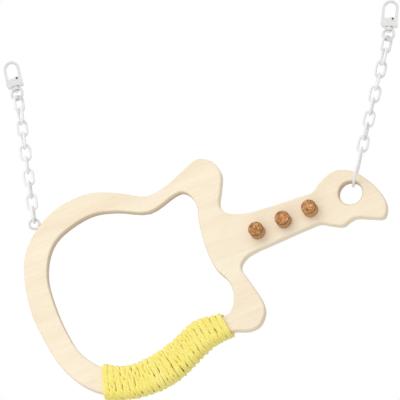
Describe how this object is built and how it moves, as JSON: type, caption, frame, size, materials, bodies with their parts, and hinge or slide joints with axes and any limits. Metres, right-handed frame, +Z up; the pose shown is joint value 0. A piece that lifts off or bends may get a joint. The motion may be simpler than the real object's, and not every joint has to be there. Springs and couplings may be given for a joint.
{
  "type": "hanging bird perch",
  "caption": "Guitar-shaped wooden bird perch with cork pegs and a rope-wound rail, hung by two plastic chains from swivel snap clips.",
  "frame": {"origin": "the seat at the inside top of the left clip's arch, where the clip hangs on a bar", "axes": "+X towards the headstock side, level; +Y towards the back, normal to the board; +Z up"},
  "size_m": [0.3636, 0.0368, 0.3571],
  "materials": {
    "pale_wood": "sanded, unfinished",
    "cork": "rough granular cork",
    "yellow_rope": "twisted cord",
    "white_plastic": "gloss",
    "bright_nickel": "bright nickel plate",
    "spring_steel": "plain wire"
  },
  "bodies": {
    "swivel_eyes": {"left_swivel_eye": "bright_nickel", "right_swivel_eye": "bright_nickel"},
    "left_link_1": {"left_link_1": "white_plastic"},
    "left_link_2": {"left_link_2": "white_plastic"},
    "left_link_3": {"left_link_3": "white_plastic"},
    "left_link_4": {"left_link_4": "white_plastic"},
    "left_link_5": {"left_link_5": "white_plastic"},
    "left_link_6": {"left_link_6": "white_plastic"},
    "left_link_7": {"left_link_7": "white_plastic"},
    "left_link_8": {"left_link_8": "white_plastic"},
    "left_link_9": {"left_link_9": "white_plastic"},
    "left_link_10": {"left_link_10": "white_plastic"},
    "right_link_1": {"right_link_1": "white_plastic"},
    "right_link_2": {"right_link_2": "white_plastic"},
    "right_link_3": {"right_link_3": "white_plastic"},
    "right_link_4": {"right_link_4": "white_plastic"},
    "right_link_5": {"right_link_5": "white_plastic"},
    "right_link_6": {"right_link_6": "white_plastic"},
    "right_link_7": {"right_link_7": "white_plastic"},
    "right_link_8": {"right_link_8": "white_plastic"},
    "right_link_9": {"right_link_9": "white_plastic"},
    "headstock_ring": {"headstock_ring": "white_plastic"},
    "perch": {"wood_frame": "pale_wood", "cork_peg_1": "cork", "cork_peg_2": "cork", "cork_peg_3": "cork", "rope_wrap": "yellow_rope", "screw_eye": "bright_nickel"},
    "left_hook": {"left_hook": "bright_nickel", "left_gate_rivet": "bright_nickel", "left_gate_spring": "spring_steel"},
    "left_gate": {"left_gate": "bright_nickel"},
    "right_hook": {"right_hook": "bright_nickel", "right_gate_rivet": "bright_nickel", "right_gate_spring": "spring_steel"},
    "right_gate": {"right_gate": "bright_nickel"}
  },
  "joints": [
    {"name": "left_swing_1", "type": "hinge", "parent": "swivel_eyes", "child": "left_link_1", "pos_m": [0.00734, 0, -0.03244], "axis": [0.9953, 0, 0.0971], "range_deg": [-14, 14]},
    {"name": "left_swing_2", "type": "hinge", "parent": "left_link_1", "child": "left_link_2", "pos_m": [0.00906, 0, -0.04537], "axis": [0.9951, 0, 0.0992], "range_deg": [-14, 14]},
    {"name": "left_swing_3", "type": "hinge", "parent": "left_link_2", "child": "left_link_3", "pos_m": [0.01024, 0, -0.05419], "axis": [0.9949, 0, 0.1007], "range_deg": [-14, 14]},
    {"name": "left_swing_4", "type": "hinge", "parent": "left_link_3", "child": "left_link_4", "pos_m": [0.01218, 0, -0.06877], "axis": [0.9947, 0, 0.1031], "range_deg": [-14, 14]},
    {"name": "left_swing_5", "type": "hinge", "parent": "left_link_4", "child": "left_link_5", "pos_m": [0.01336, 0, -0.07759], "axis": [0.9945, 0, 0.1046], "range_deg": [-14, 14]},
    {"name": "left_swing_6", "type": "hinge", "parent": "left_link_5", "child": "left_link_6", "pos_m": [0.0153, 0, -0.09216], "axis": [0.9942, 0, 0.1072], "range_deg": [-14, 14]},
    {"name": "left_swing_7", "type": "hinge", "parent": "left_link_6", "child": "left_link_7", "pos_m": [0.01648, 0, -0.10098], "axis": [0.9941, 0, 0.1088], "range_deg": [-14, 14]},
    {"name": "left_swing_8", "type": "hinge", "parent": "left_link_7", "child": "left_link_8", "pos_m": [0.01843, 0, -0.11555], "axis": [0.9938, 0, 0.1116], "range_deg": [-14, 14]},
    {"name": "left_swing_9", "type": "hinge", "parent": "left_link_8", "child": "left_link_9", "pos_m": [0.0196, 0, -0.12437], "axis": [0.9936, 0, 0.1133], "range_deg": [-14, 14]},
    {"name": "left_swing_10", "type": "hinge", "parent": "left_link_9", "child": "left_link_10", "pos_m": [0.02155, 0, -0.13894], "axis": [0.9932, 0, 0.1161], "range_deg": [-14, 14]},
    {"name": "perch_rock", "type": "hinge", "parent": "left_link_10", "child": "perch", "pos_m": [0.02274, 0, -0.14791], "axis": [0.9949, 0, 0.1013], "range_deg": [-20, 20]},
    {"name": "right_swing_1", "type": "hinge", "parent": "swivel_eyes", "child": "right_link_1", "pos_m": [0.34665, 0, 0.00068], "axis": [0.9953, 0, 0.0971], "range_deg": [-14, 14]},
    {"name": "right_swing_2", "type": "hinge", "parent": "right_link_1", "child": "right_link_2", "pos_m": [0.34363, 0, -0.01201], "axis": [0.9951, 0, 0.0992], "range_deg": [-14, 14]},
    {"name": "right_swing_3", "type": "hinge", "parent": "right_link_2", "child": "right_link_3", "pos_m": [0.34156, 0, -0.02067], "axis": [0.9949, 0, 0.1007], "range_deg": [-14, 14]},
    {"name": "right_swing_4", "type": "hinge", "parent": "right_link_3", "child": "right_link_4", "pos_m": [0.33815, 0, -0.03497], "axis": [0.9947, 0, 0.1031], "range_deg": [-14, 14]},
    {"name": "right_swing_5", "type": "hinge", "parent": "right_link_4", "child": "right_link_5", "pos_m": [0.33609, 0, -0.04363], "axis": [0.9945, 0, 0.1046], "range_deg": [-14, 14]},
    {"name": "right_swing_6", "type": "hinge", "parent": "right_link_5", "child": "right_link_6", "pos_m": [0.33269, 0, -0.05793], "axis": [0.9942, 0, 0.1072], "range_deg": [-14, 14]},
    {"name": "right_swing_7", "type": "hinge", "parent": "right_link_6", "child": "right_link_7", "pos_m": [0.33062, 0, -0.06659], "axis": [0.9941, 0, 0.1088], "range_deg": [-14, 14]},
    {"name": "right_swing_8", "type": "hinge", "parent": "right_link_7", "child": "right_link_8", "pos_m": [0.32722, 0, -0.08089], "axis": [0.9938, 0, 0.1116], "range_deg": [-14, 14]},
    {"name": "right_swing_9", "type": "hinge", "parent": "right_link_8", "child": "right_link_9", "pos_m": [0.32515, 0, -0.08954], "axis": [0.9936, 0, 0.1133], "range_deg": [-14, 14]},
    {"name": "right_swing_10", "type": "hinge", "parent": "right_link_9", "child": "headstock_ring", "pos_m": [0.32175, 0, -0.10384], "axis": [0.9932, 0, 0.1161], "range_deg": [-14, 14]},
    {"name": "left_swivel", "type": "hinge", "parent": "swivel_eyes", "child": "left_hook", "pos_m": [0.00519, 0, -0.02343], "axis": [-0.2164, 0, 0.9763], "continuous": true},
    {"name": "left_gate", "type": "hinge", "parent": "left_hook", "child": "left_gate", "pos_m": [0.00674, 0, -0.01469], "axis": [0, 1, 0], "range_deg": [-14, 0], "stiffness_Nm_per_rad": 0.01, "springref_deg": 20.05, "deforming": ["left_gate_spring"]},
    {"name": "right_swivel", "type": "hinge", "parent": "swivel_eyes", "child": "right_hook", "pos_m": [0.34794, -0.00021, 0.00982], "axis": [0.0872, 0, 0.9962], "continuous": true},
    {"name": "right_gate", "type": "hinge", "parent": "right_hook", "child": "right_gate", "pos_m": [0.35204, -0.00021, 0.01769], "axis": [0, 1, 0], "range_deg": [-14, 0], "stiffness_Nm_per_rad": 0.01, "springref_deg": 20.05, "deforming": ["right_gate_spring"]}
  ],
  "couplings": [
    {"joint": "right_swing_1", "follows": "left_swing_1", "ratio": 1},
    {"joint": "right_swing_2", "follows": "left_swing_2", "ratio": 1},
    {"joint": "right_swing_3", "follows": "left_swing_3", "ratio": 1},
    {"joint": "right_swing_4", "follows": "left_swing_4", "ratio": 1},
    {"joint": "right_swing_5", "follows": "left_swing_5", "ratio": 1},
    {"joint": "right_swing_6", "follows": "left_swing_6", "ratio": 1},
    {"joint": "right_swing_7", "follows": "left_swing_7", "ratio": 1},
    {"joint": "right_swing_8", "follows": "left_swing_8", "ratio": 1},
    {"joint": "right_swing_9", "follows": "left_swing_9", "ratio": 1},
    {"joint": "right_swing_10", "follows": "left_swing_10", "ratio": 1}
  ]
}
